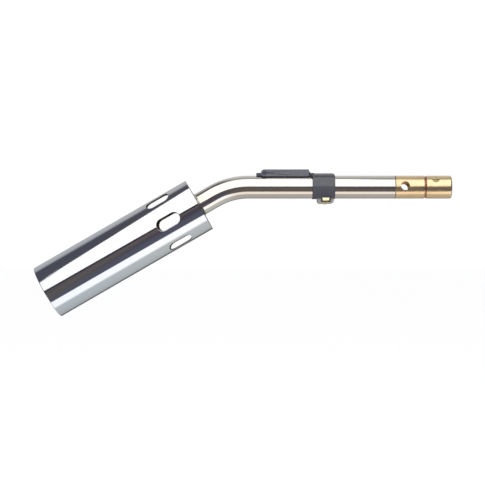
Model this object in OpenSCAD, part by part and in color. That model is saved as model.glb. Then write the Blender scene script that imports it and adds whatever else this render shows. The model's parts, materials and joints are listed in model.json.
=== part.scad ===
// Hand-held propane torch: a bent neck carries a wide slotted flame tube, a brass
// swivel connector joins it to a handle, and a clamp-on rest folds out as a stand.
// The origin is the centre of the connector's mouth. The connector and the straight
// part of the neck lie on the X axis and the burner points along -X and down.
// Positions along the straight neck are distances in front of the mouth.

/* [Neck tube] */
// Outside diameter of the neck tube
tube_d = 15.9; // [15.8:0.05:16.0]
// Wall thickness of the neck tube
tube_wall = 1.0; // [0.8:0.1:1.1]
// Angle by which the neck bends down to the burner
bend_angle = 30; // [22:1:35]
// Radius of the bend, on the centre line of the tube
bend_radius = 48; // [40:1:50]
// Distance from the mouth to where the two straight axes would cross
bend_reach = 154.2; // [154:0.1:170]

/* [Flame tube] */
// Outside diameter of the flame tube
bell_d = 38.5; // [36:0.5:44]
// Wall thickness of the flame tube
bell_wall = 0.9; // [0.8:0.1:1.2]
// Overall length of the flame tube with its back plate
bell_length = 121.9; // [100:0.1:140]
// Distance from the crossing of the axes to the back of the flame tube
bell_offset = 24.8; // [24:0.1:32]
// Number of air slots round the flame tube
slot_count = 6; // [4:1:7]
// Length of an air slot, from round end to round end
slot_length = 17.2; // [14:0.1:18]
// Width of an air slot
slot_width = 8.3; // [7:0.1:9]
// Distance from the back of the flame tube to the middle of the slots
slot_middle = 24.0; // [24:0.1:30]

/* [Brass end] */
// Depth of the connector's visible sleeve
sleeve_length = 17.6; // [17.4:0.1:19]
// Length of the visible mixer body in front of it
mixer_length = 20.2; // [19.5:0.1:21]
// Width of the groove between the two
swivel_groove = 1.4; // [1.2:0.1:1.8]
// Bore that takes the handle's nose
socket_d = 11.0; // [10.8:0.1:11.2]
// Depth of that bore
socket_depth = 14.8; // [14.8:0.1:15.2]
// Diameter of the set screw that locks the handle's nose
lock_screw_d = 5.5; // [4.5:0.1:5.6]
// Diameter of the cross-drilled air hole
air_hole_d = 6.1; // [5.6:0.1:6.4]

/* [Rest] */
// Width of the clamp along the neck
clamp_width = 15.3; // [14:0.1:17]
// Distance from the mouth to the middle of the clamp
clamp_middle = 89.0; // [86:0.1:91]
// Height of the clamp and its tongue above the neck's axis
clamp_height = 9.7; // [9.5:0.05:9.9]
// Length of the tongue in front of the clamp
tongue_length = 39.2; // [36:0.1:42]
// Length of the folding leg
leg_length = 33.4; // [28:0.1:34]

/* [Hidden] */

$fn = 96;
over = 1;                       // how far a cutter runs past the face it cuts
run = 0.05;                     // radial clearance of a running fit
clear = 0.35;                   // gap between pieces that pass each other

tube_r = tube_d / 2;
tube_bore_r = tube_r - tube_wall;
bell_r = bell_d / 2;
bell_bore_r = bell_r - bell_wall;
bend_tangent = bend_radius * tan(bend_angle / 2);
bend_start = bend_reach - bend_tangent;
bend_draw = 0.01;               // the wall draws this much thinner in the bend
bend_lap = 0.3;                 // the straight ends run this far into the bend

// Brass end, as distances in front of the mouth
mixer_rear = sleeve_length + swivel_groove;
mixer_front = mixer_rear + mixer_length;
mixer_round = 0.5;              // rounding where the mixer body meets the neck tube
mixer_plug = 8;                 // how far the mixer body reaches into the neck tube
end_round = 1.1;                // rounding of the connector's outer end
edge_round = 0.3;               // small rounding of a turned edge
swivel_washer_r = tube_r - 0.5; // thrust washer at the bottom of the swivel's groove
face_gap = 0.1;                 // running gap at a flat face
spigot_r = 5.9;                 // spigot on which the burner swivels
spigot_front = mixer_rear + 9.6;
chamber_r = 5.0;                // chamber where air meets the jet
throat_r = 3.6;
throat_start = mixer_front - 1.2;
line_depth = 0.15;              // turned line round the sleeve
line_width = 0.3;
line_place = 15.4;
lock_screw_place = 11.3;
lock_screw_turn = 42;           // degrees up from the horizontal, on the -Y side
lock_screw_sunk = 0.35;         // how far its outer face lies below the sleeve
lock_slot_width = 0.7;
lock_slot_depth = 0.8;
air_hole_place = mixer_rear + 13.5;
air_hole_turn = 6;              // degrees up from the horizontal, on the -Y side

// Seals and the snap ring of the brass end
o_ring_r = 0.75;                // half the thickness of each rubber ring
socket_seal_place = 4.6;
swivel_seal_place = mixer_rear + 3.4;
snap_r = 0.5;                   // half the thickness of the wire ring
snap_place = mixer_rear + 7.6;
snap_gap = 3;                   // opening of the wire ring

// Jet in the front of the spigot
jet_r = 3.0;
jet_seat = mixer_rear + 1.9;    // where the jet's washer rests
jet_washer_t = 0.4;
jet_hex_r = 2.7;                // across the corners of the jet's spanner head
jet_thread = 6.2;               // threaded length of the jet
jet_head = 1.0;
jet_orifice_r = 0.3;
gas_way_r = 1.8;
filter_t = 1.6;
filter_r = 2.6;

// Burner head, as distances in front of the flame tube's back
plate_t = 1.2;
plate_lip = 3.6;                // lip of the back plate inside the flame tube
collar_r = 9.2;
collar_end = 3.5;
neck_end = 9.5;                 // front end of the neck tube
nozzle_hex_r = 11.6;            // across the corners of the nozzle's hexagon
nozzle_r = 10;
nozzle_end = 14.0;
seat_t = 0.8;                   // ledge that carries the gauze
gauze_t = 0.5;
holder_t = 2.2;
holder_r = 8.6;
ring_t = 0.6;
ring_groove_r = 8.9;
ring_bore_r = 7.6;
port_count = 8;
port_ring_r = 5.4;
port_r = 1.0;
pilot_r = 2.2;

// Rest, measured from the neck's axis
liner_t = 0.35;
liner_proud = 0.25;             // how far the liner shows past each side of the clamp
liner_r = tube_r + run + liner_t;
saddle_bore_r = liner_r + run;
saddle_drop = 8.2;              // how far the clamp's cheeks reach below the axis
saddle_round = 2.0;             // rounding of the clamp's rear top edge
clamp_front = clamp_middle + clamp_width / 2;
clamp_rear = clamp_middle - clamp_width / 2;
flare_r = 3.5;                  // fillet where the tongue widens into the clamp
tongue_half = 3.9;
tongue_tip = clamp_front + tongue_length;
tongue_under_r = saddle_bore_r;
tip_bevel = 1.2;
ramp_height = 1.2;              // little ramp behind the folded leg
ramp_length = 1.6;

lug_half = 3.4;                 // lug of the clamp behind the screw head
lug_drop = 11.1;
lug_round = 1.6;
screw_r = 0.95;
screw_drop = 9.5;
screw_place = 87.75;
head_width = 5.3;               // the screw's head is a block, wider than it is high
head_height = 3.9;
head_t = 2.2;
nut_r = 2.4;                    // across the corners of the hexagon
washer_t = 0.5;
nut_t = 2.0;
screw_tail = 0.8;
keeper_width = 11.2;
keeper_t = 1.0;
keeper_top = 5.0;
keeper_drop = 11.6;
keeper_round = 2.0;
keeper_web = 6.8;               // width of the keeper's web under the neck

// Folding leg and its hinge
leg_r = 2.45;                   // radius of the leg's round end
pin_height = 9.7;
pin_place = tongue_tip - 3.15 - leg_r;
leg_half = 5.1;
leg_t = 0.9;
leg_web_t = 0.7;
leg_web_start = 0.5;            // where the leg's web begins behind the pin
leg_rear = pin_place + leg_r - leg_length;
pin_r = 0.9;
pin_head_r = 1.4;
pin_head_t = 0.35;
knuckle_r = 1.4;
knuckle_half = 3.6;
pin_washer_r = 1.6;
pin_washer_t = 0.5;

chrome = [0.80, 0.81, 0.84];
nickel = [0.82, 0.80, 0.76];
brass = [0.86, 0.68, 0.32];
black = [0.20, 0.20, 0.23];
zinc = [0.62, 0.62, 0.62];
copper = [0.72, 0.45, 0.30];
rubber = [0.08, 0.08, 0.08];
wire = [0.55, 0.55, 0.55];

// ---- shared shapes ----

// A profile of [radius, distance] turned about the neck's axis
module turned() {
    rotate([0, -90, 0]) rotate_extrude() children();
}

// A ring between two distances in front of the mouth
module ring(outer, inner, from, to) {
    turned() translate([inner, from]) square([outer - inner, to - from]);
}

// A solid bar between two distances in front of the mouth
module bar(r, from, to) {
    translate([-from, 0, 0]) rotate([0, -90, 0]) cylinder(r = r, h = to - from);
}

// A round cord bent into a ring about the neck's axis
module cord_ring(middle_r, r, place) {
    turned() translate([middle_r, place]) circle(r);
}

// Burner axis: local +Z runs out of the flame tube and 0 is the tube's back
module on_burner() {
    translate([-bend_reach, 0, 0]) rotate([0, -90 - bend_angle, 0])
        translate([0, 0, bell_offset]) children();
}

// A ring on the burner axis
module burner_ring(outer, inner, from, to) {
    translate([0, 0, from]) difference() {
        cylinder(r = outer, h = to - from);
        translate([0, 0, -over]) cylinder(r = inner, h = to - from + 2 * over);
    }
}

// A rod across the neck, at a distance in front of the mouth and a height
module cross_rod(r, place, height, from, to, sides = 96) {
    translate([-place, from, height]) rotate([-90, 0, 0]) cylinder(r = r, h = to - from, $fn = sides);
}

// A flat plate across Y, its outline drawn as [X, Z]
module side_plate(from, to) {
    translate([0, to, 0]) rotate([90, 0, 0]) linear_extrude(to - from) children();
}

// A bar along X, its outline drawn as [Y, Z], between two distances in front of the mouth
module along_neck(from, to) {
    translate([-to, 0, 0]) rotate([90, 0, 90]) linear_extrude(to - from) children();
}

// A radial drill through the wall of the brass end, on the -Y side
module wall_drill(d, place, turn, depth) {
    translate([-place, 0, 0]) rotate([-turn, 0, 0]) rotate([90, 0, 0]) cylinder(d = d, h = depth);
}

// A square with its two lower corners rounded
module low_rounded(half, top, bottom, r) {
    translate([-half, bottom + r]) square([2 * half, top - bottom - r]);
    translate([-half + r, bottom]) square([2 * (half - r), r]);
    for (side = [-1, 1]) translate([side * (half - r), bottom + r]) circle(r);
}

// ---- burner head ----

module slot_cutter() {
    straight = slot_length - slot_width;
    rotate([0, 90, 0]) linear_extrude(bell_r + over) {
        square([straight, slot_width], center = true);
        for (end = [-1, 1]) translate([end * straight / 2, 0]) circle(d = slot_width);
    }
}

module flame_tube() {
    color(chrome) on_burner() difference() {
        burner_ring(bell_r, bell_bore_r, plate_t, bell_length);
        for (i = [0 : slot_count - 1])
            rotate([0, 0, -90 + i * 360 / slot_count]) translate([0, 0, slot_middle]) slot_cutter();
    }
}

module back_plate() {
    color(chrome) on_burner() {
        burner_ring(bell_r, tube_r, 0, plate_t);
        burner_ring(bell_bore_r, bell_bore_r - bell_wall, plate_t, plate_t + plate_lip);
        burner_ring(collar_r, tube_r, plate_t, collar_end);
    }
}

module nozzle_body() {
    color(brass) on_burner() difference() {
        union() {
            translate([0, 0, collar_end]) cylinder(r = nozzle_hex_r, h = neck_end - collar_end, $fn = 6);
            translate([0, 0, collar_end]) cylinder(r = nozzle_r, h = nozzle_end - collar_end);
        }
        translate([0, 0, collar_end - over]) cylinder(r = tube_r, h = neck_end - collar_end + over);
        cylinder(r = tube_bore_r, h = nozzle_end + over);
        translate([0, 0, neck_end + seat_t]) cylinder(r = holder_r, h = nozzle_end);
        burner_ring(ring_groove_r, holder_r - over, holder_front(), holder_front() + ring_t);
    }
}

function holder_front() = neck_end + seat_t + gauze_t + holder_t;

module gauze_disc() {
    color(wire) on_burner() translate([0, 0, neck_end + seat_t]) cylinder(r = holder_r - run, h = gauze_t);
}

module flame_holder() {
    color(brass) on_burner() translate([0, 0, neck_end + seat_t + gauze_t]) difference() {
        cylinder(r = holder_r, h = holder_t);
        translate([0, 0, -over]) cylinder(r = pilot_r, h = holder_t + 2 * over);
        for (i = [0 : port_count - 1])
            rotate([0, 0, i * 360 / port_count]) translate([port_ring_r, 0, -over])
                cylinder(r = port_r, h = holder_t + 2 * over);
    }
}

module gauze_ring() {
    color(wire) on_burner() difference() {
        burner_ring(ring_groove_r, ring_bore_r, holder_front(), holder_front() + ring_t);
        translate([0, -snap_gap / 2, holder_front() - over]) cube([bell_r, snap_gap, ring_t + 2 * over]);
    }
}

// ---- neck ----

module neck_tube() {
    color(nickel) {
        ring(tube_r, tube_bore_r, mixer_front, bend_start + bend_lap);
        translate([-bend_start, 0, -bend_radius]) rotate([90, 0, 0]) rotate([0, 0, 90])
            rotate_extrude(angle = bend_angle) translate([bend_radius, 0]) difference() {
                circle(tube_r - bend_draw);
                circle(tube_bore_r + bend_draw);
            }
        on_burner() burner_ring(tube_r, tube_bore_r, bend_tangent - bend_lap - bell_offset, neck_end);
    }
}

// ---- brass end ----

// Round bar whose edge at the chosen end is rounded
module rounded_profile(r, from, to, round_rear, round_front) {
    translate([0, from + round_rear]) square([r, to - from - round_rear - round_front]);
    translate([0, from]) square([r - round_rear, round_rear]);
    translate([r - round_rear, from + round_rear]) circle(round_rear);
    translate([0, to - round_front]) square([r - round_front, round_front]);
    translate([r - round_front, to - round_front]) circle(round_front);
}

module mixer_body() {
    color(brass) difference() {
        union() {
            turned() rounded_profile(tube_r, mixer_rear, mixer_front, edge_round, mixer_round);
            bar(tube_bore_r, mixer_front - over, mixer_front + mixer_plug);
        }
        bar(spigot_r + run, mixer_rear - over, spigot_front + face_gap);
        bar(chamber_r, mixer_rear, throat_start);
        bar(throat_r, mixer_rear, mixer_front + mixer_plug + over);
        ring(spigot_r + snap_r + 0.2, spigot_r, snap_place - snap_r - 0.3, snap_place + snap_r + 0.3);
        translate([-air_hole_place, 0, 0]) rotate([90 - air_hole_turn, 0, 0])
            cylinder(d = air_hole_d, h = 3 * tube_r, center = true);
    }
}

module connector_sleeve() {
    color(brass) difference() {
        union() {
            turned() rounded_profile(tube_r, 0, sleeve_length, end_round, edge_round);
            bar(spigot_r, sleeve_length - over, spigot_front);
        }
        bar(socket_d / 2, -over, socket_depth);
        bar(gas_way_r, socket_depth - over, jet_seat);
        bar(filter_r, jet_seat - filter_t, jet_seat);
        bar(jet_r, jet_seat, spigot_front + over);
        ring(socket_d / 2 + 2 * o_ring_r + 0.15, socket_d / 2 - over,
             socket_seal_place - o_ring_r - 0.15, socket_seal_place + o_ring_r + 0.15);
        ring(spigot_r + over, spigot_r - 2 * (o_ring_r + run),
             swivel_seal_place - o_ring_r - 0.15, swivel_seal_place + o_ring_r + 0.15);
        ring(spigot_r + over, spigot_r - snap_r - 0.1,
             snap_place - snap_r - run, snap_place + snap_r + run);
        ring(tube_r + over, tube_r - line_depth, line_place - line_width / 2, line_place + line_width / 2);
        wall_drill(lock_screw_d, lock_screw_place, lock_screw_turn, tube_r + over);
    }
}

module lock_screw() {
    outer_end = tube_r - lock_screw_sunk;
    color(brass) difference() {
        wall_drill(lock_screw_d, lock_screw_place, lock_screw_turn, outer_end);
        bar(socket_d / 2, 0, socket_depth);
        translate([-lock_screw_place, 0, 0]) rotate([90 - lock_screw_turn, 0, 0])
            translate([-lock_screw_d / 2 - over, -lock_slot_width / 2, outer_end - lock_slot_depth])
                cube([lock_screw_d + 2 * over, lock_slot_width, over + lock_slot_depth]);
    }
}

module swivel_washer() {
    color(copper) ring(swivel_washer_r, spigot_r, sleeve_length, mixer_rear - face_gap);
}

module gas_jet() {
    start = jet_seat + jet_washer_t;
    color(brass) difference() {
        union() {
            bar(jet_r, start, start + jet_thread);
            translate([-start - jet_thread, 0, 0]) rotate([0, -90, 0])
                cylinder(r = jet_hex_r, h = jet_head, $fn = 6);
        }
        bar(gas_way_r, start - over, start + jet_thread - jet_head);
        bar(jet_orifice_r, start, start + jet_thread + jet_head + over);
    }
}

module jet_washer() {
    color(copper) ring(jet_r, gas_way_r, jet_seat, jet_seat + jet_washer_t);
}

module jet_filter() {
    color(brass) bar(filter_r, jet_seat - filter_t, jet_seat);
}

module swivel_o_ring() {
    color(rubber) cord_ring(spigot_r - o_ring_r - run, o_ring_r, swivel_seal_place);
}

module socket_o_ring() {
    color(rubber) cord_ring(socket_d / 2 + o_ring_r + run, o_ring_r, socket_seal_place);
}

module retaining_ring() {
    color(wire) difference() {
        cord_ring(spigot_r, snap_r, snap_place);
        translate([-snap_place - over, -snap_gap / 2, 0]) cube([2 * over, snap_gap, tube_r]);
    }
}

// ---- rest ----

module clamp_liner() {
    color(rubber) difference() {
        ring(liner_r, tube_r + run, clamp_rear - liner_proud, clamp_front + liner_proud);
        translate([-clamp_front - over, -liner_t, 0])
            cube([clamp_width + 2 * over, 2 * liner_t, tube_r + over]);
    }
}

// Side outline of the clamp, as [X, Z], with its rear top edge rounded
module saddle_side_outline() {
    bottom = -lug_drop;
    translate([-clamp_front, bottom]) square([clamp_width, clamp_height - saddle_round - bottom]);
    translate([-clamp_front, bottom]) square([clamp_width - saddle_round, clamp_height - bottom]);
    translate([-clamp_rear - saddle_round, clamp_height - saddle_round]) circle(saddle_round);
}

module saddle() {
    intersection() {
        along_neck(clamp_rear, clamp_front) difference() {
            union() {
                circle(clamp_height);
                translate([-clamp_height, -saddle_drop]) square([2 * clamp_height, saddle_drop]);
            }
            circle(saddle_bore_r);
            translate([-saddle_bore_r, -clamp_height - over])
                square([2 * saddle_bore_r, clamp_height + over]);
        }
        side_plate(-tube_d, tube_d) saddle_side_outline();
    }
}

module saddle_lugs() {
    for (side = [-1, 1]) {
        near = side < 0 ? -clamp_height : saddle_bore_r;
        side_plate(near, near + clamp_height - saddle_bore_r)
            translate([-screw_place, 0]) low_rounded(lug_half, -saddle_drop + over, -lug_drop, lug_round);
    }
}

// Where the tongue widens into the clamp: the arch, cut to two hollow fillets
module tongue_flare() {
    intersection() {
        along_neck(clamp_front - over, clamp_front + flare_r) difference() {
            circle(clamp_height);
            circle(saddle_bore_r);
        }
        linear_extrude(clamp_height) difference() {
            translate([-clamp_front - flare_r, -tongue_half - flare_r])
                square([flare_r + over, 2 * (tongue_half + flare_r)]);
            for (side = [-1, 1])
                translate([-clamp_front - flare_r, side * (tongue_half + flare_r)]) circle(flare_r);
        }
    }
}

module tongue() {
    intersection() {
        along_neck(clamp_front - over, tongue_tip) difference() {
            translate([-tongue_half, 0]) square([2 * tongue_half, clamp_height]);
            circle(tongue_under_r);
        }
        side_plate(-tube_d, tube_d) polygon([
            [-clamp_front + over, clamp_height], [-tongue_tip + tip_bevel / 3, clamp_height],
            [-tongue_tip, clamp_height - tip_bevel / 3],
            [-tongue_tip, clamp_height - tip_bevel], [-tongue_tip + 2 * tip_bevel, 0],
            [-clamp_front + over, 0]
        ]);
    }
}

module leg_ramp() {
    side_plate(-tongue_half, tongue_half) polygon([
        [-leg_rear + clear, clamp_height - over], [-leg_rear + clear, clamp_height + ramp_height],
        [-leg_rear + clear + ramp_length, clamp_height - over]
    ]);
}

module rest_bracket() {
    color(black) difference() {
        union() {
            saddle();
            saddle_lugs();
            tongue_flare();
            tongue();
            leg_ramp();
            cross_rod(knuckle_r, pin_place, pin_height, -knuckle_half, knuckle_half);
        }
        bar(tongue_under_r, clamp_front + flare_r, tongue_tip + over);
        cross_rod(pin_r + run, pin_place, pin_height, -leg_half, leg_half);
        for (side = [-1, 1])
            cross_rod(pin_washer_r + clear, pin_place, pin_height,
                      side > 0 ? knuckle_half : -leg_half, side > 0 ? leg_half : -knuckle_half);
        cross_rod(screw_r + run, screw_place, -screw_drop, -tube_d, tube_d);
    }
}

module clamp_keeper() {
    color(zinc) difference() {
        union() {
            for (side = [-1, 1]) {
                near = side < 0 ? -saddle_bore_r : saddle_bore_r - keeper_t;
                side_plate(near, near + keeper_t) translate([-screw_place, 0])
                    low_rounded(keeper_width / 2, -keeper_top, -keeper_drop, keeper_round);
            }
            translate([-screw_place - keeper_web / 2, -saddle_bore_r, -keeper_drop])
                cube([keeper_web, 2 * saddle_bore_r, keeper_t]);
        }
        cross_rod(screw_r + run, screw_place, -screw_drop, -tube_d, tube_d);
    }
}

module clamp_screw() {
    color(brass) {
        side_plate(-clamp_height - head_t, -clamp_height) translate([-screw_place, -screw_drop])
            square([head_width, head_height], center = true);
        cross_rod(screw_r, screw_place, -screw_drop, -clamp_height - head_t / 2,
                  clamp_height + washer_t + nut_t + screw_tail);
    }
}

module clamp_washer() {
    color(zinc) difference() {
        cross_rod(nut_r, screw_place, -screw_drop, clamp_height, clamp_height + washer_t);
        cross_rod(screw_r + run, screw_place, -screw_drop, 0, tube_d);
    }
}

module clamp_nut() {
    color(brass) difference() {
        cross_rod(nut_r, screw_place, -screw_drop, clamp_height + washer_t,
                  clamp_height + washer_t + nut_t, sides = 6);
        cross_rod(screw_r, screw_place, -screw_drop, 0, tube_d);
    }
}

module leg_cheek_outline() {
    translate([-pin_place, pin_height]) circle(leg_r);
    translate([-pin_place, pin_height - leg_r]) square([pin_place - leg_rear, 2 * leg_r]);
}

module rest_leg() {
    leg_top = pin_height + leg_r;
    color(black) difference() {
        union() {
            for (side = [-1, 1]) {
                near = side < 0 ? -leg_half : leg_half - leg_t;
                side_plate(near, near + leg_t) leg_cheek_outline();
            }
            translate([-pin_place + leg_web_start, -leg_half, leg_top - leg_web_t])
                cube([pin_place - leg_rear - leg_web_start, 2 * leg_half, leg_web_t]);
            translate([-leg_rear - leg_t, -leg_half, clamp_height + clear])
                cube([leg_t, 2 * leg_half, leg_top - clamp_height - clear]);
        }
        cross_rod(pin_r, pin_place, pin_height, -tube_d, tube_d);
    }
}

module leg_pin() {
    color(black) {
        cross_rod(pin_r, pin_place, pin_height, -leg_half - pin_head_t, leg_half + pin_head_t);
        cross_rod(pin_head_r, pin_place, pin_height, leg_half, leg_half + pin_head_t);
        cross_rod(pin_head_r, pin_place, pin_height, -leg_half - pin_head_t, -leg_half);
    }
}

module leg_washers() {
    color(zinc) for (side = [-1, 1]) {
        near = side < 0 ? -knuckle_half - run - pin_washer_t : knuckle_half + run;
        difference() {
            cross_rod(pin_washer_r, pin_place, pin_height, near, near + pin_washer_t);
            cross_rod(pin_r + run, pin_place, pin_height, near - over, near + pin_washer_t + over);
        }
    }
}

flame_tube();
back_plate();
nozzle_body();
flame_holder();
gauze_disc();
gauze_ring();
neck_tube();
mixer_body();
connector_sleeve();
gas_jet();
jet_washer();
jet_filter();
lock_screw();
swivel_washer();
swivel_o_ring();
retaining_ring();
socket_o_ring();
clamp_liner();
rest_bracket();
clamp_keeper();
clamp_screw();
clamp_washer();
clamp_nut();
rest_leg();
leg_pin();
leg_washers();
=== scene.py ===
"""Looks of the propane torch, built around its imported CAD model."""
import json
import math

import bmesh
import bpy
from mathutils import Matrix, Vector


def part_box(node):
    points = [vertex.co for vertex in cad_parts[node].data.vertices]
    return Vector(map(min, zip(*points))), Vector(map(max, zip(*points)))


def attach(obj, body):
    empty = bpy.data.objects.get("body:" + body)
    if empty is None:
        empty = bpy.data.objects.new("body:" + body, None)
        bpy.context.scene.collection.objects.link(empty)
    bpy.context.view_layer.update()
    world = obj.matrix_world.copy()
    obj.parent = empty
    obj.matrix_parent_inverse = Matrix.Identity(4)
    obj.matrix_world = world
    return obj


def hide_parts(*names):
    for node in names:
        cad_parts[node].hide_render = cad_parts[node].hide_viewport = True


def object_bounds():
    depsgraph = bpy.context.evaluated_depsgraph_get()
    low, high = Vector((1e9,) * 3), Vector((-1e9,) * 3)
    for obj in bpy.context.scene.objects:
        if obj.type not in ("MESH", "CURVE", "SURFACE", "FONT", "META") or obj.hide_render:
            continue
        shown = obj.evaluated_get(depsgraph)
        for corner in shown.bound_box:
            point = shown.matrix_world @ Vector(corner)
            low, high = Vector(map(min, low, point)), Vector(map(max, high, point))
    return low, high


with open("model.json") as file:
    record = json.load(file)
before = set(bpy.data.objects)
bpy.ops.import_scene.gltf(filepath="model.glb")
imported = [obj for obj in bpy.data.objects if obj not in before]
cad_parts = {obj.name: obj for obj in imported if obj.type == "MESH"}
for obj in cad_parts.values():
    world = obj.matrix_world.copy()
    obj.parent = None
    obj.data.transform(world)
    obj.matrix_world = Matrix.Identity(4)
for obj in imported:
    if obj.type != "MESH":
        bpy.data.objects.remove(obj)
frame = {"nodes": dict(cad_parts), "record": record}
CAD_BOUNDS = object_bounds()

# ---- where things are, in metres, read from the frame ----

NODES = frame["nodes"]
LOW, HIGH = (Vector(corner) for corner in CAD_BOUNDS)
CENTRE = (LOW + HIGH) / 2
MM = 0.001

BEND = math.radians(30)                         # the neck bends down by this much
BURNER_AXIS = Vector((-math.cos(BEND), 0, -math.sin(BEND)))
BURNER_SIDE = Vector((-math.sin(BEND), 0, math.cos(BEND)))


def middle(node):
    low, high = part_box(node)
    return (low + high) / 2


def half_width(node):
    """Half the size of a node across the torch, which is the radius of a round one."""
    low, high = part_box(node)
    return (high.y - low.y) / 2


def ends_on_axis(node):
    """The two ends of a node that is round about the burner's axis, as distances along that axis."""
    low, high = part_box(node)
    reach = (high.x - low.x - 2 * half_width(node) * math.sin(BEND)) / (2 * math.cos(BEND))
    place = middle(node).dot(BURNER_AXIS)
    return place - reach, place + reach


NECK_R = half_width("mixer_body")
BELL_R = half_width("flame_tube")
BELL_BACK, BELL_MOUTH = ends_on_axis("flame_tube")
BELL_HEIGHT = middle("flame_tube").dot(BURNER_SIDE)    # how far the burner's axis lies above the origin
PLATE_BACK = ends_on_axis("back_plate")[0]


def burner_point(along, side=0.0, across=0.0):
    """A point given along the burner's axis, off it in the XZ plane, and across the torch."""
    return BURNER_AXIS * along + BURNER_SIDE * (BELL_HEIGHT + side) + Vector((0, across, 0))


def outward_at(turn):
    """The direction out from the burner's axis, turned from the top of the tube."""
    return BURNER_SIDE * math.cos(turn) + Vector((0, math.sin(turn), 0))


# ---- node-tree helpers ----

class Tree:
    """A short way to write shader nodes: each call adds one node and returns its output."""

    def __init__(self, owner):
        owner.use_nodes = True
        self.tree = owner.node_tree
        self.tree.nodes.clear()

    def node(self, kind, **settings):
        made = self.tree.nodes.new(kind)
        for name, value in settings.items():
            setattr(made, name, value)
        return made

    def put(self, socket, value):
        """Links an output to a socket, or sets the socket to a plain value."""
        if isinstance(value, bpy.types.NodeSocket):
            self.tree.links.new(value, socket)
        else:
            socket.default_value = value

    def math(self, operation, a, b=0.0):
        made = self.node("ShaderNodeMath", operation=operation)
        self.put(made.inputs[0], a)
        self.put(made.inputs[1], b)
        return made.outputs[0]

    def step(self, value, low, high, start=0.0, end=1.0):
        """A smooth change from start to end as value goes from low to high."""
        made = self.node("ShaderNodeMapRange", interpolation_type="SMOOTHSTEP")
        for socket, number in zip(made.inputs, (value, low, high, start, end)):
            self.put(socket, number)
        return made.outputs[0]

    def mix(self, factor, a, b):
        made = self.node("ShaderNodeMix", data_type="RGBA")
        self.put(made.inputs[0], factor)
        self.put(made.inputs[6], a)
        self.put(made.inputs[7], b)
        return made.outputs[2]

    def place(self):
        """The place on the object in metres, which moves with it."""
        return self.node("ShaderNodeTexCoord").outputs["Object"]

    def stretch(self, place, scale, turn=(0, 0, 0)):
        made = self.node("ShaderNodeMapping")
        self.put(made.inputs["Vector"], place)
        made.inputs["Scale"].default_value = scale
        made.inputs["Rotation"].default_value = turn
        return made.outputs[0]

    def split(self, place):
        made = self.node("ShaderNodeSeparateXYZ")
        self.put(made.inputs[0], place)
        return made.outputs

    def noise(self, place, scale, detail=2.0, roughness=0.5):
        made = self.node("ShaderNodeTexNoise")
        self.put(made.inputs["Vector"], place)
        made.inputs["Scale"].default_value = scale
        made.inputs["Detail"].default_value = detail
        made.inputs["Roughness"].default_value = roughness
        return made.outputs["Fac"]

    def cells(self, place, scale, output="Distance"):
        made = self.node("ShaderNodeTexVoronoi")
        self.put(made.inputs["Vector"], place)
        made.inputs["Scale"].default_value = scale
        return made.outputs[output]

    def bump(self, height, strength, distance, under=None):
        """Relief from a height. Give an earlier bump as under to add to it."""
        made = self.node("ShaderNodeBump")
        made.inputs["Strength"].default_value = strength
        made.inputs["Distance"].default_value = distance
        self.put(made.inputs["Height"], height)
        if under is not None:
            self.put(made.inputs["Normal"], under)
        return made.outputs[0]

    def surface(self, colour, metallic, roughness, normal=None, coat=0.0):
        """The Principled shader, linked to the material's output."""
        shader = self.node("ShaderNodeBsdfPrincipled")
        self.put(shader.inputs["Base Color"], colour)
        self.put(shader.inputs["Metallic"], metallic)
        self.put(shader.inputs["Roughness"], roughness)
        if normal is not None:
            self.put(shader.inputs["Normal"], normal)
        shader.inputs["Coat Weight"].default_value = coat
        shader.inputs["Coat Roughness"].default_value = 0.16
        self.put(self.node("ShaderNodeOutputMaterial").inputs["Surface"], shader.outputs[0])


def grey(level):
    return (level, level, level, 1.0)


def new_material(name):
    material = bpy.data.materials.new(name)
    return material, Tree(material)


# ---- surroundings: a pale studio that the bright metal reflects ----

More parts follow.
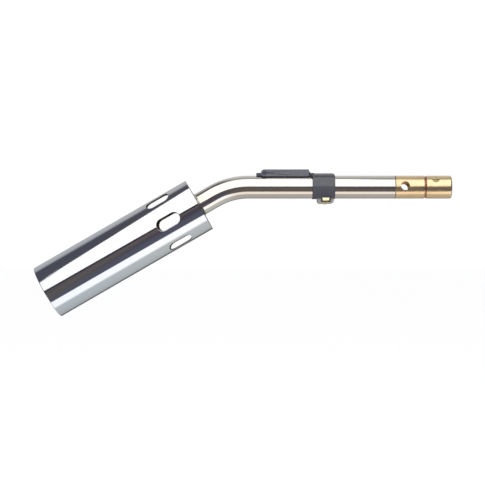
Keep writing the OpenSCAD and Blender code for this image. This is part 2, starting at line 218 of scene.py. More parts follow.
def make_world():
    """Soft bands of light and shade round the object, by the angle swept about the X axis."""
    world = bpy.data.worlds.new("studio")
    bpy.context.scene.world = world
    t = Tree(world)
    x, y, z = t.split(t.node("ShaderNodeTexCoord").outputs["Generated"])
    sweep = t.math("MULTIPLY", t.math("ARCTAN2", z, t.math("MULTIPLY", y, -1.0)), 180 / math.pi)
    never_zero = 0.001
    depth = t.math("MAXIMUM", t.math("ABSOLUTE", z), never_zero)
    along = t.math("DIVIDE", x, depth)
    out = t.math("DIVIDE", y, depth)

    # 1 where the slanting flame tube looks, 0 where the level neck and the brass end look
    slanting = t.step(t.math("ABSOLUTE", along), 0.15, 0.45)
    line = (0.045, 0.040, 0.044, 1)
    edge_light = (0.125, 0.105, 0.12, 1)
    far_wall = (0.14, 0.14, 0.15, 1)

    # above and behind
    behind_left = t.mix(t.step(sweep, 108, 126), (0.085, 0.086, 0.108, 1), grey(0.42))
    behind_left = t.mix(t.step(sweep, 122, 138), behind_left, (0.51, 0.52, 0.54, 1))
    behind = t.mix(t.step(sweep, 100, 124), grey(0.38), grey(0.64))
    upper = t.mix(slanting, behind, behind_left)
    upper = t.mix(t.step(sweep, 3, 9), line, upper)
    upper = t.mix(t.step(sweep, 166, 170), upper, far_wall)

    # below: a dark band at eye level, a white strip, then the shaded floor
    cool_band = t.mix(t.step(sweep, -30, -14), (0.10, 0.105, 0.145, 1), (0.072, 0.064, 0.084, 1))
    band = t.mix(slanting, (0.128, 0.114, 0.104, 1), cool_band)
    band = t.mix(t.step(sweep, -10, -5), band, edge_light)
    band = t.mix(t.step(sweep, -3, 1), band, line)
    strip = t.mix(slanting, (1.04, 0.94, 0.85, 1), grey(1.25))
    warm_floor = t.mix(t.step(out, 0.3, 2.2), (0.47, 0.445, 0.42, 1), (0.35, 0.34, 0.325, 1))
    cool_floor = t.mix(t.step(out, -0.2, 2.2), (0.57, 0.61, 0.605, 1), (0.38, 0.40, 0.40, 1))
    lower = t.mix(t.step(out, -0.36, -0.10), strip, t.mix(slanting, warm_floor, cool_floor))
    sooner = 5.0                                # degrees by which the band ends sooner for the flame tube
    band_end = t.math("SUBTRACT", sweep, t.math("MULTIPLY", slanting, sooner))
    lower = t.mix(t.step(band_end, -50.5, -47.5), lower, band)
    lower = t.mix(t.step(sweep, -150, -146), far_wall, lower)
    horizon = 0.0005
    seen = t.mix(t.step(z, -horizon, horizon), lower, upper)
    side_wall = t.step(t.math("ABSOLUTE", x), 0.66, 0.82)
    seen = t.mix(side_wall, seen, (0.085, 0.08, 0.08, 1))

    path = t.node("ShaderNodeLightPath")
    light = t.node("ShaderNodeBackground")
    t.put(light.inputs["Color"], t.mix(path.outputs["Is Camera Ray"], seen, grey(1.0)))
    t.put(t.node("ShaderNodeOutputWorld").inputs["Surface"], light.outputs[0])


def flat_mesh(name, corners):
    """An object with one face through these corners."""
    mesh = bpy.data.meshes.new(name)
    mesh.from_pydata(corners, [], [tuple(range(len(corners)))])
    made = bpy.data.objects.new(name, mesh)
    bpy.context.scene.collection.objects.link(made)
    return made


def make_softbox():
    """The soft box overhead. Its slanting left edge ends the highlight on the flame tube."""
    height = 0.6
    # in plan, in metres: the left edge from the torch out, the right edge back, and the end by the torch
    left_edge = [(-0.505, -0.01), (-0.537, -0.05), (-0.617, -0.20), (-0.682, -0.33), (-0.753, -0.485),
                 (-0.774, -0.54), (-2.405, -7.0)]
    right_edge = [(1.03, -7.0), (0.42, -0.12)]
    near_end = [(0.0, -0.12), (-0.03, -0.045), (-0.42, -0.045)]
    outline = left_edge + right_edge + near_end
    softbox = flat_mesh("softbox", [(x, y, height) for x, y in outline])
    material, t = new_material("softbox_light")
    glow = t.node("ShaderNodeEmission")
    glow.inputs["Color"].default_value = (1.0, 0.995, 0.97, 1)
    glow.inputs["Strength"].default_value = 1.35
    t.put(t.node("ShaderNodeOutputMaterial").inputs["Surface"], glow.outputs[0])
    softbox.data.materials.append(material)
    softbox.visible_camera = False
    softbox.visible_shadow = False


def make_floor():
    """A white floor well below the torch. It lights the torch from below, and mirrors don't show it."""
    half = 12.0
    gap = 0.16                                  # between the floor and the lowest point of the torch
    level = LOW.z - gap
    corners = [(-half, -half, level), (half, -half, level), (half, half, level), (-half, half, level)]
    floor = flat_mesh("floor", corners)
    material, t = new_material("floor_paint")
    shader = t.node("ShaderNodeBsdfPrincipled")
    shader.inputs["Base Color"].default_value = grey(0.9)
    shader.inputs["Roughness"].default_value = 0.9
    shader.inputs["Emission Color"].default_value = grey(1.0)
    shader.inputs["Emission Strength"].default_value = 0.75
    # seen from below it is clear, so that the underside can be looked at
    either = t.node("ShaderNodeMixShader")
    t.put(either.inputs[0], t.node("ShaderNodeNewGeometry").outputs["Backfacing"])
    t.put(either.inputs[1], shader.outputs[0])
    t.put(either.inputs[2], t.node("ShaderNodeBsdfTransparent").outputs[0])
    t.put(t.node("ShaderNodeOutputMaterial").inputs["Surface"], either.outputs[0])
    floor.data.materials.append(material)
    floor.visible_glossy = False


def make_camera():
    """Level with the object and square to its side."""
    distance = 1.151
    rise = 0.3 * MM
    data = bpy.data.cameras.new("camera")
    data.lens = 122.5
    camera = bpy.data.objects.new("camera", data)
    bpy.context.scene.collection.objects.link(camera)
    camera.location = (CENTRE.x, -distance, CENTRE.z + rise)
    camera.rotation_euler = (math.radians(90), 0, 0)
    bpy.context.scene.camera = camera


# ---- materials ----

def burner_coordinates(t):
    """Distance along the burner's axis and distance from that axis, in metres."""
    x, y, z = t.split(t.place())
    forward = t.math("MULTIPLY", x, -math.cos(BEND))
    along = t.math("SUBTRACT", forward, t.math("MULTIPLY", z, math.sin(BEND)))
    upward = t.math("MULTIPLY", z, math.cos(BEND))
    side = t.math("SUBTRACT", upward, t.math("MULTIPLY", x, math.sin(BEND)))
    side = t.math("SUBTRACT", side, BELL_HEIGHT)
    squares = t.math("ADD", t.math("MULTIPLY", y, y), t.math("MULTIPLY", side, side))
    return along, t.math("SQRT", squares)


def chrome_plate():
    """Polished plate, cooler towards the mouth, with soot and heat colours inside the tube."""
    material, t = new_material("chrome_plate")
    along, off_axis = burner_coordinates(t)
    edge_start = BELL_R - 0.16 * MM             # the bright plate starts part way round the rounded edges
    edge_end = BELL_R - 0.02 * MM
    outside = t.step(off_axis, edge_start, edge_end)
    haze = t.noise(t.place(), 45, detail=4)
    buffed = t.noise(t.stretch(t.place(), (220, 9, 220), (0, BEND, 0)), 6, detail=3)

    cool = t.mix(t.step(along, BELL_BACK, BELL_MOUTH), (0.80, 0.80, 0.82, 1), (0.74, 0.77, 0.83, 1))
    clean = t.mix(t.step(haze, 0.45, 0.75, 0.0, 0.12), cool, (0.84, 0.80, 0.74, 1))
    soot_end = BELL_BACK + 8 * MM
    straw_start = BELL_BACK + 45 * MM
    straw = t.mix(t.step(haze, 0.3, 0.7), (0.55, 0.42, 0.26, 1), (0.36, 0.33, 0.40, 1))
    inside = t.mix(t.step(along, soot_end, straw_start), (0.10, 0.085, 0.075, 1), straw)
    roughness = t.math("ADD", t.step(haze, 0.35, 0.8, 0.025, 0.075), t.math("MULTIPLY", buffed, 0.03))
    roughness = t.math("ADD", roughness, t.math("MULTIPLY", t.math("SUBTRACT", 1.0, outside), 0.32))
    ripple = t.bump(t.noise(t.place(), 60), 0.03, 0.4 * MM)
    lines = t.bump(buffed, 0.02, 0.05 * MM, under=ripple)
    t.surface(t.mix(outside, inside, clean), 1.0, roughness, lines)
    return material


def bright_tube():
    """Drawn tube with fine lines along it, turning straw coloured by the flame tube."""
    material, t = new_material("bright_tube")
    along, _ = burner_coordinates(t)
    haze = t.noise(t.place(), 60, detail=4)
    drawn = t.noise(t.stretch(t.place(), (6, 900, 900)), 2, detail=2)
    heat_start = BELL_BACK - 26 * MM
    heat_end = BELL_BACK + 2 * MM
    heated = t.step(along, heat_start, heat_end, 0.0, 0.35)
    heated = t.math("MULTIPLY", heated, t.step(haze, 0.2, 0.6, 0.6, 1.0))
    clean = t.mix(t.step(haze, 0.4, 0.75, 0.0, 0.3), (0.84, 0.81, 0.765, 1), (0.78, 0.73, 0.66, 1))
    colour = t.mix(heated, clean, (0.86, 0.74, 0.60, 1))
    roughness = t.math("ADD", t.step(haze, 0.35, 0.8, 0.05, 0.11), t.math("MULTIPLY", drawn, 0.05))
    normal = t.bump(drawn, 0.05, 0.03 * MM)
    t.surface(colour, 1.0, roughness, t.bump(t.noise(t.place(), 90), 0.02, 0.3 * MM, under=normal))
    return material


def turned_brass():
    """Brass from the lathe: fine rings round the X axis and a little uneven tarnish."""
    material, t = new_material("turned_brass")
    rings = t.noise(t.stretch(t.place(), (2600, 14, 14)), 1, detail=3, roughness=0.6)
    tarnish = t.noise(t.place(), 130, detail=5, roughness=0.6)
    spots = t.step(t.noise(t.place(), 900, detail=1), 0.66, 0.74, 0.0, 0.2)
    bright = (0.97, 0.765, 0.475, 1)
    colour = t.mix(t.step(tarnish, 0.4, 0.75, 0.0, 0.55), bright, (0.86, 0.60, 0.34, 1))
    colour = t.mix(spots, colour, (0.55, 0.36, 0.18, 1))
    roughness = t.math("ADD", t.step(tarnish, 0.3, 0.8, 0.15, 0.25), t.math("MULTIPLY", rings, 0.06))
    t.surface(colour, 0.95, roughness, t.bump(rings, 0.06, 0.02 * MM))
    return material


def aged_brass():
    """Duller brass for the set screw, which the lathe has not touched since it went in."""
    material, t = new_material("aged_brass")
    tarnish = t.noise(t.place(), 420, detail=5, roughness=0.65)
    colour = t.mix(t.step(tarnish, 0.3, 0.7), (0.80, 0.69, 0.42, 1), (0.60, 0.50, 0.29, 1))
    t.surface(colour, 1.0, t.step(tarnish, 0.3, 0.7, 0.34, 0.5), t.bump(tarnish, 0.2, 0.05 * MM))
    return material


def forged_brass():
    """Brass with a soft, slightly pitted skin, as on a forged screw."""
    material, t = new_material("forged_brass")
    skin = t.noise(t.place(), 800, detail=4, roughness=0.6)
    colour = t.mix(t.step(skin, 0.45, 0.75, 0.0, 0.6), (0.98, 0.86, 0.56, 1), (0.80, 0.62, 0.33, 1))
    t.surface(colour, 1.0, t.step(skin, 0.3, 0.7, 0.14, 0.24), t.bump(skin, 0.06, 0.03 * MM))
    return material


def black_coat(name, colour, dusty):
    """Satin black coat with an orange-peel skin, faint dust and a few chips down to grey."""
    material, t = new_material(name)
    peel = t.noise(t.place(), 1400, detail=2)
    dust = t.noise(t.place(), 240, detail=5, roughness=0.7)
    chips = t.step(t.noise(t.place(), 520, detail=3), 0.71, 0.73)
    colour = t.mix(t.step(dust, 0.45, 0.8, 0.0, 0.5), colour, dusty)
    colour = t.mix(chips, colour, (0.24, 0.24, 0.25, 1))
    roughness = t.step(dust, 0.3, 0.8, 0.18, 0.30)
    t.surface(colour, 0.0, roughness, t.bump(peel, 0.10, 0.06 * MM), coat=1.0)
    return material


def zinc_plate():
    """Zinc plated steel with crystal patches and brushing."""
    material, t = new_material("zinc_plate")
    spangle = t.cells(t.place(), 700, "Color")
    patch = t.split(spangle)[0]
    brushed = t.noise(t.stretch(t.place(), (1800, 60, 300)), 1, detail=2)
    colour = t.mix(t.step(patch, 0.0, 1.0, 0.0, 0.6), (0.60, 0.575, 0.55, 1), (0.46, 0.455, 0.45, 1))
    roughness = t.math("ADD", t.step(patch, 0.0, 1.0, 0.42, 0.54), t.math("MULTIPLY", brushed, 0.12))
    t.surface(colour, 0.6, roughness, t.bump(brushed, 0.08, 0.03 * MM))
    return material


def drawn_wire():
    """Steel wire browned by the flame."""
    material, t = new_material("drawn_wire")
    scale = t.noise(t.place(), 700, detail=4)
    colour = t.mix(scale, (0.50, 0.47, 0.44, 1), (0.26, 0.20, 0.17, 1))
    t.surface(colour, 1.0, t.step(scale, 0.3, 0.7, 0.28, 0.5), t.bump(scale, 0.1, 0.03 * MM))
    return material


def copper_ring():
    """Annealed copper, duller in patches."""
    material, t = new_material("copper_ring")
    patches = t.noise(t.place(), 350, detail=4)
    colour = t.mix(t.step(patches, 0.35, 0.65), (0.62, 0.30, 0.19, 1), (0.33, 0.15, 0.11, 1))
    t.surface(colour, 1.0, t.step(patches, 0.3, 0.7, 0.28, 0.5), t.bump(patches, 0.1, 0.03 * MM))
    return material


def sintered_bronze():
    """Bronze grains pressed together."""
    material, t = new_material("sintered_bronze")
    grains = t.cells(t.place(), 3200)
    colour = t.mix(t.step(grains, 0.1, 0.6), (0.62, 0.47, 0.28, 1), (0.16, 0.10, 0.06, 1))
    t.surface(colour, 1.0, t.step(grains, 0.1, 0.6, 0.38, 0.7), t.bump(grains, -0.6, 0.15 * MM))
    return material


def black_rubber():
    """Matt moulded rubber with a fine grain and a little bloom."""
    material, t = new_material("black_rubber")
    grain = t.noise(t.place(), 2400, detail=2)
    bloom = t.noise(t.place(), 300, detail=3)
    colour = t.mix(t.step(bloom, 0.4, 0.8, 0.0, 0.6), grey(0.028), grey(0.07))
    t.surface(colour, 0.0, t.step(bloom, 0.3, 0.8, 0.55, 0.75), t.bump(grain, 0.15, 0.04 * MM))
    return material


def braze_metal():
    """Silver braze that has flowed and set slightly uneven, with a trace of brown flux."""
    material, t = new_material("braze_metal")
    flow = t.noise(t.place(), 500, detail=3)
    colour = t.mix(t.step(flow, 0.5, 0.75), (0.74, 0.71, 0.66, 1), (0.45, 0.39, 0.34, 1))
    t.surface(colour, 1.0, t.step(flow, 0.3, 0.7, 0.14, 0.34), t.bump(flow, 0.25, 0.1 * MM))
    return material


def dark_joint_fill():
    """Dark brown for the ring in the joint between the brass and the neck tube."""
    material, t = new_material("dark_joint_fill")
    crust = t.noise(t.place(), 900, detail=4, roughness=0.7)
    colour = t.mix(t.step(crust, 0.35, 0.7), (0.085, 0.060, 0.042, 1), (0.24, 0.17, 0.11, 1))
    t.surface(colour, 0.0, t.step(crust, 0.3, 0.7, 0.45, 0.7), t.bump(crust, 0.4, 0.08 * MM))
    return material


MATERIALS = {
    "chrome": chrome_plate(), "nickel": bright_tube(), "brass": turned_brass(),
    "zinc": zinc_plate(), "wire": drawn_wire(), "copper": copper_ring(), "bronze": sintered_bronze(),
    "rubber": black_rubber(), "braze": braze_metal(), "aged_brass": aged_brass(),
    # "flux" is the dark brown of the ring in the joint between the brass and the neck tube
    "flux": dark_joint_fill(), "forged_brass": forged_brass(),
    "black_enamel": black_coat("black_coat", (0.052, 0.055, 0.076, 1), (0.090, 0.093, 0.118, 1)),
    # a lighter copy of the black coat for the leg, which is painted light: it makes the leg's side
    # brighter than the clamp
    "lit_black_coat": black_coat("lit_black_coat", (0.140, 0.142, 0.178, 1), (0.175, 0.175, 0.205, 1)),
}

# nodes whose finish differs from the one that their material slot names
# the leg gets the lighter copy of the black coat, which is painted light
OTHER_FINISH = {"lock_screw": "aged_brass", "rest_leg": "lit_black_coat"}


# ---- the CAD nodes: finish and softened edges ----

EDGE = 0.12 * MM                                # a machined edge
EDGES = {                                       # edges that are softer or sharper than that
    "back_plate": 0.20 * MM, "clamp_keeper": 0.20 * MM, "clamp_nut": 0.45 * MM,
    "clamp_liner": 0.05 * MM, "leg_washers": 0.08 * MM,
}
ROUND_NODES = ("swivel_o_ring", "socket_o_ring", "retaining_ring")
SHARP = math.radians(32)                        # edges that turn by more than this count as sharp


def sharp_by_angle():
    """A node group that shades a mesh smooth but for its sharp edges."""
    group = bpy.data.node_groups.new("sharp_by_angle", "GeometryNodeTree")
    group.interface.new_socket("Geometry", in_out="INPUT", socket_type="NodeSocketGeometry")
    group.interface.new_socket("Geometry", in_out="OUTPUT", socket_type="NodeSocketGeometry")
    nodes = group.nodes
    start = nodes.new("NodeGroupInput")
    end = nodes.new("NodeGroupOutput")
    plain = nodes.new("GeometryNodeRemoveAttribute")
    plain.inputs["Name"].default_value = "custom_normal"
    faces = nodes.new("GeometryNodeSetShadeSmooth")
    faces.domain = "FACE"
    edges = nodes.new("GeometryNodeSetShadeSmooth")
    edges.domain = "EDGE"
    angle = nodes.new("GeometryNodeInputMeshEdgeAngle")
    soft = nodes.new("FunctionNodeCompare")
    soft.operation = "LESS_THAN"
    soft.inputs["B"].default_value = SHARP
    link = group.links.new
    link(start.outputs[0], plain.inputs["Geometry"])
    link(plain.outputs["Geometry"], faces.inputs["Geometry"])
    link(faces.outputs["Geometry"], edges.inputs["Geometry"])
    link(angle.outputs["Unsigned Angle"], soft.inputs["A"])
    link(soft.outputs[0], edges.inputs["Shade Smooth"])
    link(edges.outputs["Geometry"], end.inputs[0])
    return group


SHARP_BY_ANGLE = sharp_by_angle()


def soften_edges(node, width):
    """Rounds the sharp edges, so that they catch the light."""
    weld = node.modifiers.new("weld", "WELD")
    weld.merge_threshold = 0.002 * MM
    node.modifiers.new("smooth", "NODES").node_group = SHARP_BY_ANGLE
    bevel = node.modifiers.new("bevel", "BEVEL")
    bevel.width = width
    bevel.segments = 3
    bevel.limit_method = "ANGLE"
    bevel.angle_limit = SHARP
    bevel.use_clamp_overlap = True
    bevel.harden_normals = True


def finish_nodes():
    """Gives each CAD node its material and its softened edges."""
    for part in frame["record"]["subparts"]:
        node = NODES[part["node"]]
        node.data.materials.clear()
        finish = OTHER_FINISH.get(part["node"], part["material_slot"])
        node.data.materials.append(MATERIALS[finish])
        if part["node"] not in ROUND_NODES:
            soften_edges(node, EDGES.get(part["node"], EDGE))


# ---- pieces added to the CAD model ----

def mesh_piece(name, points, faces, material, body):
    """A mesh in the row frame that rides a body."""
    mesh = bpy.data.meshes.new(name)
    mesh.from_pydata(points, [], faces)
    mesh.materials.append(MATERIALS[material])
    shape = bmesh.new()
    shape.from_mesh(mesh)
    bmesh.ops.recalc_face_normals(shape, faces=shape.faces)
    for face in shape.faces:
        face.smooth = True
    shape.to_mesh(mesh)
    shape.free()
    piece = bpy.data.objects.new(name, mesh)
    bpy.context.scene.collection.objects.link(piece)
    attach(piece, body)
    return piece


def swept_rings(rings, closed):
    """Points and faces of a skin over rings of points, with the ends capped unless it is closed."""
    count = len(rings[0])
    points = [point for ring in rings for point in ring]
    faces = []
    last = len(rings) if closed else len(rings) - 1
    for i in range(last):
        here = i * count
        there = (i + 1) % len(rings) * count
        for j in range(count):
            k = (j + 1) % count
            faces.append((here + j, here + k, there + k, there + j))
    if not closed:
        faces.append(tuple(range(count))[::-1])
        faces.append(tuple(range(len(points) - count, len(points))))
    return points, faces


WALL = 0.9 * MM                                 # the flame tube's sheet
RIM = 0.42 * MM                                 # rounding of its rims, which is less than half the sheet
SLOTS = 6
SLOT_HALF = 8.6 * MM                            # half the length of a slot, round ends included
SLOT_R = 4.15 * MM                              # half its width
SLOT_MIDDLE = PLATE_BACK + 24.0 * MM
PANEL_HALF = 14 * MM                            # half the length of the panel meshed round each slot
ROUND_STEPS = 4                                 # steps in a quarter turn of a rounded edge
PANEL_STEPS = 48                                # steps across a panel, which is a sixth of the way round
PANEL_SHARES = (0.0, 0.25, 0.5, 0.75, 0.9)      # how far in from a panel's outline its rings lie
FIRST_SLOT = -math.pi / 2                       # the slot that faces the camera


def rim_stages():
    """The sheet's rounded edge, outside to inside: inset from the edge, depth and turn of the normal."""
    stages = []
    for i in range(ROUND_STEPS + 1):
        turn = math.pi / 2 * i / ROUND_STEPS
        stages.append((RIM * (1 - math.sin(turn)), RIM * (1 - math.cos(turn)), turn))
    mirrored = [(inset, WALL - depth, math.pi - turn) for inset, depth, turn in reversed(stages)]
    return stages + mirrored


def slot_edge(direction, grown):
    """Where a ray from a slot's middle meets its outline grown by this much, and the way into the slot."""
    across, along = direction
    radius = SLOT_R + grown
    centre = SLOT_HALF - SLOT_R
    if abs(across) * centre >= abs(along) * radius:
        scale = radius / abs(across)
        return (across * scale, along * scale), (-math.copysign(1, across), 0.0)
    middle_along = math.copysign(centre, along)
    size = across ** 2 + along ** 2
    half_b = along * middle_along
    scale = (half_b + math.sqrt(half_b ** 2 - size * (centre ** 2 - radius ** 2))) / size
    point = (across * scale, along * scale)
    return point, (-point[0] / radius, (middle_along - point[1]) / radius)


class TubeMesh:
    """Points on the burner's cylinder, given by turn, distance along and depth below the outside."""

    def __init__(self):
        self.points = []
        self.normals = []
        self.faces = []
        self.known = {}

    def add(self, turn, along, depth, normal):
        """The number of the point at this place, which is made when it is first asked for."""
        fine = 1e5                              # places that agree to this many parts are one point
        full_turn = round(math.tau * fine)
        turned = round(turn % math.tau * fine) % full_turn
        key = (turned, round(along / MM * fine), round(depth / MM * fine))
        if key not in self.known:
            self.known[key] = len(self.points)
            self.points.append(burner_point(along) + outward_at(turn) * (BELL_R - depth))
            self.normals.append(normal)
        return self.known[key]

    def skin(self, rings):
        """Faces between closed rings of point numbers."""
        for here, there in zip(rings, rings[1:]):
            for j in range(len(here)):
                k = (j + 1) % len(here)
                self.faces.append((here[j], here[k], there[k], there[j]))


def panel_outline():
    """The outline of the panel round a slot, as turn from its middle and distance along."""
    reach = math.pi / SLOTS
    along_steps = 24
    outline = []
    for i in range(PANEL_STEPS):
        outline.append((-reach + 2 * reach * i / PANEL_STEPS, -PANEL_HALF))
    for i in range(along_steps):
        outline.append((reach, -PANEL_HALF + 2 * PANEL_HALF * i / along_steps))
    for i in range(PANEL_STEPS):
        outline.append((reach - 2 * reach * i / PANEL_STEPS, PANEL_HALF))
    for i in range(along_steps):
        outline.append((-reach, PANEL_HALF - 2 * PANEL_HALF * i / along_steps))
    return outline


def slot_panel(tube, turn):
    """The panel of the tube round one slot, with the slot's rounded edge."""
    outline = panel_outline()
    sideways = Vector((0, math.cos(turn), 0)) - BURNER_SIDE * math.sin(turn)

    def edge_ring(inset, depth, bend):
        """A ring round the slot's edge."""
        ring = []
        for off_turn, off_along in outline:
            direction = (BELL_R * math.sin(off_turn), off_along)
            (across, along), (in_across, in_along) = slot_edge(direction, inset)
            place = turn + math.asin(across / (BELL_R - depth))
            outward = outward_at(place)
            inward = sideways * in_across + BURNER_AXIS * in_along
            normal = (outward * math.cos(bend) + inward * math.sin(bend)).normalized()
            ring.append((place - turn, along, depth, normal))
        return ring

    def plain_rings(edge, depth, side):
        """Rings from the panel's outline in to a ring near the slot."""
        made = []
        for share in PANEL_SHARES:
            ring = []
            for (off_turn, off_along), (near_turn, near_along, _, _) in zip(outline, edge):
                place = off_turn + (near_turn - off_turn) * share
                along = off_along + (near_along - off_along) * share
                normal = outward_at(turn + place) * side
                ring.append((place, along, depth, normal))
            made.append(ring)
        return made

    edges = [edge_ring(*stage) for stage in rim_stages()]
    outside = plain_rings(edges[0], 0.0, 1)
    inside = plain_rings(edges[-1], WALL, -1)
    numbered = []
    for ring in outside + edges + inside[::-1]:
        numbered.append([tube.add(turn + place, SLOT_MIDDLE + along, depth, normal)
                         for place, along, depth, normal in ring])
    tube.skin(numbered)


def tube_ring(tube, along, depth, bend=0.0):
    """A ring right round the tube, with its normals turned by bend from outwards towards the mouth."""
    steps = PANEL_STEPS * SLOTS
    first = FIRST_SLOT - math.pi / SLOTS
    ring = []
    for j in range(steps):
        turn = first + math.tau * j / steps
        normal = outward_at(turn) * math.cos(bend) + BURNER_AXIS * math.sin(bend)
        ring.append(tube.add(turn, along, depth, normal))
    return ring


def flame_tube_skin():
    """The flame tube with rounded slot edges and mouth, in place of the CAD model's sharp one."""
    tube = TubeMesh()
    for i in range(SLOTS):
        slot_panel(tube, FIRST_SLOT + i * math.tau / SLOTS)
    panel_front = SLOT_MIDDLE + PANEL_HALF
    panel_back = SLOT_MIDDLE - PANEL_HALF
    front_steps = 10
    front_length = BELL_MOUTH - RIM - panel_front
    front_places = [panel_front + front_length * i / front_steps for i in range(front_steps)]
    rings = [tube_ring(tube, place, 0.0) for place in front_places]
    for inset, depth, bend in rim_stages():
        rings.append(tube_ring(tube, BELL_MOUTH - inset, depth, bend))
    rings.extend(tube_ring(tube, place, WALL, math.pi) for place in reversed(front_places))
    tube.skin(rings)
    tube.skin([tube_ring(tube, panel_back, 0.0), tube_ring(tube, BELL_BACK, 0.0),
               tube_ring(tube, BELL_BACK, WALL, math.pi), tube_ring(tube, panel_back, WALL, math.pi)])
    skin = mesh_piece("flame_tube_skin", tube.points, tube.faces, "chrome", "burner")
    skin.data.normals_split_custom_set_from_vertices([tuple(normal) for normal in tube.normals])
    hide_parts("flame_tube")


def braze_fillet():
    """The braze in the corner between the neck tube and the back of the flame tube."""
    steps = 120
    curve_steps = 7
    into_plate = 0.05 * MM
    into_neck = 0.1 * MM
    rings = []
    for i in range(steps):
        turn = math.tau * i / steps
        reach = (1.25 + 0.10 * math.sin(3 * turn + 0.6) + 0.05 * math.sin(11 * turn)) * MM
        outward = outward_at(turn)
        ring = [burner_point(PLATE_BACK + into_plate) + outward * (NECK_R - into_neck)]
        for j in range(curve_steps):
            bend = math.pi / 2 * j / (curve_steps - 1)
            out = NECK_R + reach * (1 - math.sin(bend))
            back = reach * (1 - math.cos(bend))
            ring.append(burner_point(PLATE_BACK - back) + outward * out)
        rings.append(ring)
    points, faces = swept_rings(rings, closed=True)
    mesh_piece("neck_braze", points, faces, "braze", "burner")


def seam_band():
    """Plating that runs unbroken over the seam between the flame tube and its back plate."""
    steps = 192
    sunk = 0.006 * MM
    reach = 0.55 * MM
    wall = 0.5 * MM
    rings = []
    for i in range(steps):
        turn = math.tau * i / steps
        outward = outward_at(turn)
        corners = ((BELL_BACK - reach, BELL_R - wall), (BELL_BACK - reach, BELL_R - sunk),
                   (BELL_BACK + reach, BELL_R - sunk), (BELL_BACK + reach, BELL_R - wall))
        rings.append([burner_point(along) + outward * out for along, out in corners])
    points, faces = swept_rings(rings, closed=True)
    band = mesh_piece("seam_band", points, faces, "chrome", "burner")
    band.modifiers.new("smooth", "NODES").node_group = SHARP_BY_ANGLE


def joint_line():
    """A dark brown ring that fills the corner where the mixer body meets the neck tube."""
    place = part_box("neck_tube")[1].x
    steps = 120
    # depth below the neck's surface and place along it, in millimetres
    profile = [(0.50, -0.46), (0.02, -0.30), (-0.04, -0.14), (-0.04, 0.20), (0.04, 0.36), (0.50, 0.46)]
    rings = []
    for i in range(steps):
        turn = math.tau * i / steps
        uneven = 1 + 0.12 * math.sin(5 * turn) + 0.08 * math.sin(13 * turn + 1)
        ring = []
        for sunk, shift in profile:
            reach = NECK_R - sunk * MM
            along = place + shift * MM * uneven
            ring.append(Vector((along, reach * math.cos(turn), reach * math.sin(turn))))
        rings.append(ring)
    points, faces = swept_rings(rings, closed=True)
    mesh_piece("dark_joint_ring", points, faces, "flux", "burner")


WIRE_PITCH = 0.9 * MM                           # the gauze
WIRE_R = 0.11 * MM
WIRE_SWAY = 0.12 * MM                           # how far a wire rises and sinks


def gauze_wire(reach, off, level, over_first, swapped):
    """The skin of one wire that runs over and under the wires across it."""
    sides = 6
    spacing = WIRE_PITCH / 4
    fewest = 4
    steps = max(fewest, int(2 * reach / spacing))
    rings = []
    for i in range(steps + 1):
        run = -reach + 2 * reach * i / steps
        rise = WIRE_SWAY * math.cos(math.pi * (run / WIRE_PITCH + over_first))
        ring = []
        for j in range(sides):
            turn = math.tau * j / sides
            beside = off + WIRE_R * math.cos(turn)
            height = level + rise + WIRE_R * math.sin(turn)
            side, across = (beside, run) if swapped else (run, beside)
            ring.append(burner_point(height, side, across))
        rings.append(ring)
    return swept_rings(rings, closed=False)


def woven_gauze():
    """Wires woven over and under each other, in place of the CAD model's solid disc."""
    level = sum(ends_on_axis("gauze_disc")) / 2
    clearance = 0.1 * MM
    radius = half_width("gauze_disc") - clearance
    count = int(radius / WIRE_PITCH)
    points = []
    faces = []
    for direction in (0, 1):
        for number in range(-count, count + 1):
            off = number * WIRE_PITCH
            reach = math.sqrt(radius ** 2 - off ** 2)
            wire_points, wire_faces = gauze_wire(reach, off, level, number + direction, direction == 1)
            start = len(points)
            points.extend(wire_points)
            faces.extend(tuple(start + index for index in face) for face in wire_faces)
    gauze = mesh_piece("gauze_weave", points, faces, "wire", "burner")
    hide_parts("gauze_disc")


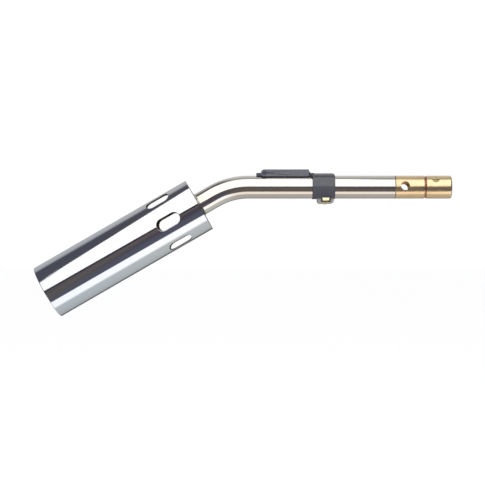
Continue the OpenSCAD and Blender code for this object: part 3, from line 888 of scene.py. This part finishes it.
def crowned_screw():
    """The clamp's screw with a crowned head and a cut thread, in place of the CAD model's plain one."""
    low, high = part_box("clamp_screw")
    centre = middle("clamp_screw")
    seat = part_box("rest_bracket")[0].y
    half_length = (high.x - low.x) / 2
    half_height = (high.z - low.z) / 2
    squareness = 9                              # of the head's outline: at 2 it is an ellipse
    crown_r = 6 * MM                            # the face is crowned from top to bottom
    crest = -0.22 * MM                          # where the face stands out most, above its middle
    edge = 0.25 * MM                            # how far the face falls away at its outline
    edge_squareness = 10
    face_steps = 12
    shank_r = 0.95 * MM
    tip_r = 0.65 * MM
    thread_start = seat + 3 * MM
    thread_end = high.y - 0.3 * MM
    pitch = 0.4 * MM
    cut = 0.12 * MM
    turn_steps = 6                              # rings in one turn of the thread
    steps = 96
    rings = []

    def head_reach(turn):
        """The head's outline, as distance from the screw's axis."""
        along = abs(math.cos(turn)) / half_length
        up = abs(math.sin(turn)) / half_height
        return (along ** squareness + up ** squareness) ** (-1 / squareness)

    def crown(rise):
        """Where the head's face lies at this height above the screw's axis."""
        return low.y + (rise - crest) ** 2 / (2 * crown_r)

    def ring_at(place_of, reach_of):
        """A ring whose place along the screw depends on the height above the screw's axis."""
        ring = []
        for j in range(steps):
            turn = math.tau * j / steps
            reach = reach_of(turn)
            rise = reach * math.sin(turn)
            ring.append(Vector((centre.x + reach * math.cos(turn), place_of(rise), centre.z + rise)))
        return ring

    for i in range(1, face_steps + 1):
        share = i / face_steps
        fall = edge * share ** edge_squareness
        rings.append(ring_at(lambda rise: crown(rise) + fall, lambda turn: share * head_reach(turn)))
    rings.append(ring_at(lambda rise: seat, head_reach))
    rings.append(ring_at(lambda rise: seat, lambda turn: shank_r))
    for i in range(int((thread_end - thread_start) / (pitch / turn_steps)) + 1):
        place = thread_start + i * pitch / turn_steps
        phase = math.tau * place / pitch
        rings.append(ring_at(lambda rise: place,
                             lambda turn: shank_r - cut * (0.5 + 0.5 * math.sin(phase + turn))))
    rings.append(ring_at(lambda rise: high.y, lambda turn: tip_r))
    points, faces = swept_rings(rings, closed=False)
    screw = mesh_piece("crowned_screw", points, faces, "forged_brass", "rest_clamp")
    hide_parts("clamp_screw")


# ---- the script ----

finish_nodes()
flame_tube_skin()
braze_fillet()
seam_band()
woven_gauze()
joint_line()
crowned_screw()
make_world()
make_softbox()
make_floor()
make_camera()
bpy.context.scene.view_settings.view_transform = "Standard"
